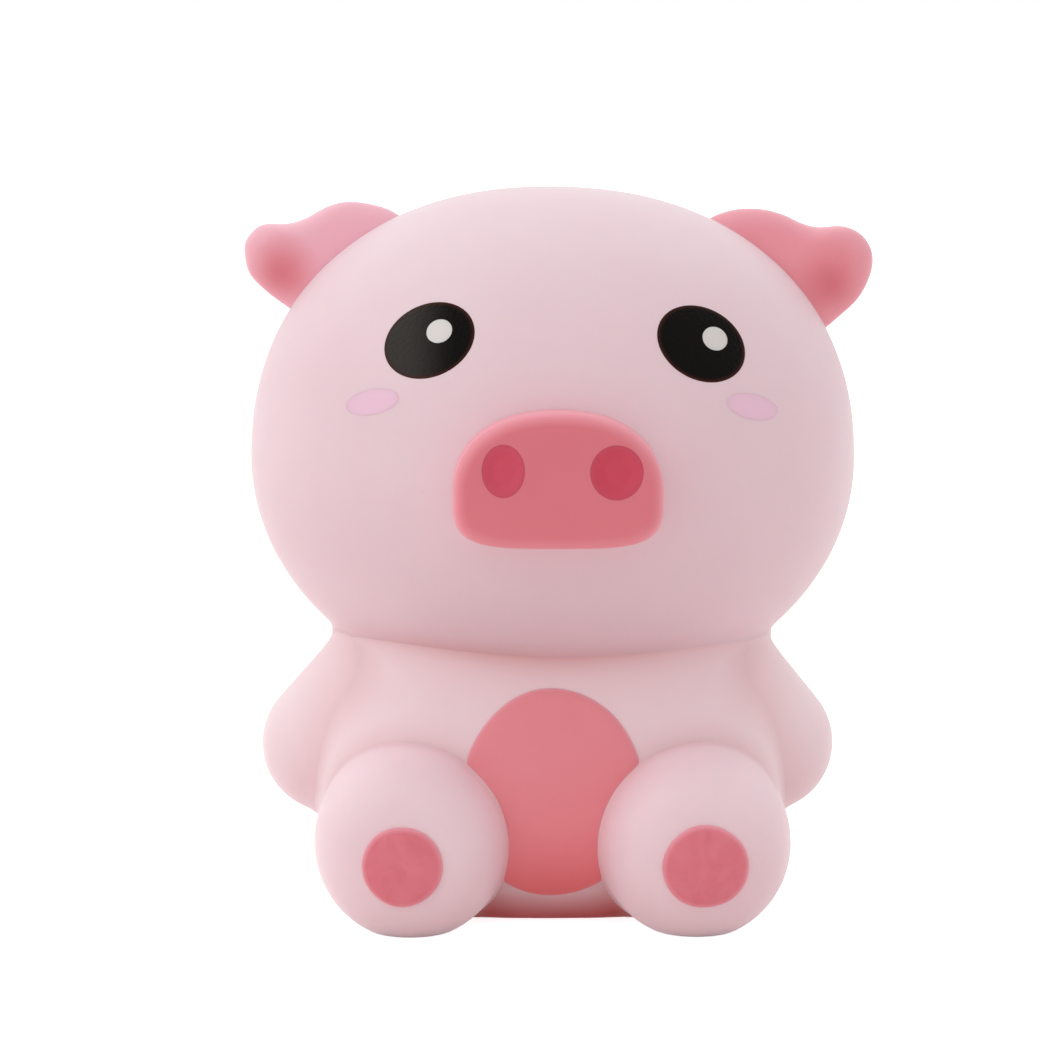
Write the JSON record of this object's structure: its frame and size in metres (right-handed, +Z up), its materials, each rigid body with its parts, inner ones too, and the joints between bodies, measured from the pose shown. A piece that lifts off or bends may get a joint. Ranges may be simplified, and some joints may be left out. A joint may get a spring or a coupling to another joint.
{
  "type": "squeeze toy",
  "caption": "Soft sitting pig squeeze toy whose head presses down on a squashy body, with ears that bend and legs that flex.",
  "frame": {"origin": "on the flat base, under the middle of the torso", "axes": "+Z up, the face looks along -Y, the toy's left is +X"},
  "size_m": [0.0794, 0.0685, 0.09],
  "materials": {
    "skin_pink": "matte",
    "rose_pink": "matte",
    "ear_pink": "matte",
    "deep_rose": "satin",
    "eye_black": "satin",
    "glint_white": "satin",
    "blush_lilac": "satin",
    "plug_pink": "matte",
    "soft_fill": "matte"
  },
  "bodies": {
    "torso": {"torso_skin": "skin_pink", "torso_filling": "soft_fill", "filler_plug": "plug_pink", "belly_patch": "rose_pink", "tail": "ear_pink", "left_arm": "skin_pink", "right_arm": "skin_pink"},
    "head": {"head_skin": "skin_pink", "head_filling": "soft_fill", "snout": "rose_pink", "left_nostril": "deep_rose", "right_nostril": "deep_rose", "left_eye": "eye_black", "right_eye": "eye_black", "left_glint": "glint_white", "right_glint": "glint_white", "left_blush": "blush_lilac", "right_blush": "blush_lilac"},
    "left_ear": {"left_ear": "ear_pink"},
    "right_ear": {"right_ear": "ear_pink"},
    "left_leg": {"left_leg": "skin_pink", "left_foot_pad": "rose_pink"},
    "right_leg": {"right_leg": "skin_pink", "right_foot_pad": "rose_pink"}
  },
  "joints": [
    {"name": "head_press", "type": "slide", "parent": "torso", "child": "head", "axis": [0, 0, 1], "range_m": [-0.01, 0], "stiffness_N_per_m": 600, "springref_m": 0.004, "deforming": ["torso_skin", "torso_filling", "belly_patch", "left_arm", "right_arm"]},
    {"name": "left_ear_bend", "type": "hinge", "parent": "head", "child": "left_ear", "pos_m": [0.02779, 0.0015, 0.08019], "axis": [0.7382, 0, -0.6746], "range_deg": [-20, 20], "stiffness_Nm_per_rad": 0.01},
    {"name": "right_ear_bend", "type": "hinge", "parent": "head", "child": "right_ear", "pos_m": [-0.02651, 0.0015, 0.08095], "axis": [0.7568, 0, 0.6537], "range_deg": [-20, 20], "stiffness_Nm_per_rad": 0.01},
    {"name": "left_leg_flex", "type": "hinge", "parent": "torso", "child": "left_leg", "pos_m": [0.0169, -0.014, 0.0106], "axis": [-1, 0, 0], "range_deg": [0, 12], "stiffness_Nm_per_rad": 0.5, "springref_deg": -2.86},
    {"name": "right_leg_flex", "type": "hinge", "parent": "torso", "child": "right_leg", "pos_m": [-0.0169, -0.014, 0.0106], "axis": [-1, 0, 0], "range_deg": [0, 12], "stiffness_Nm_per_rad": 0.5, "springref_deg": -2.86}
  ]
}
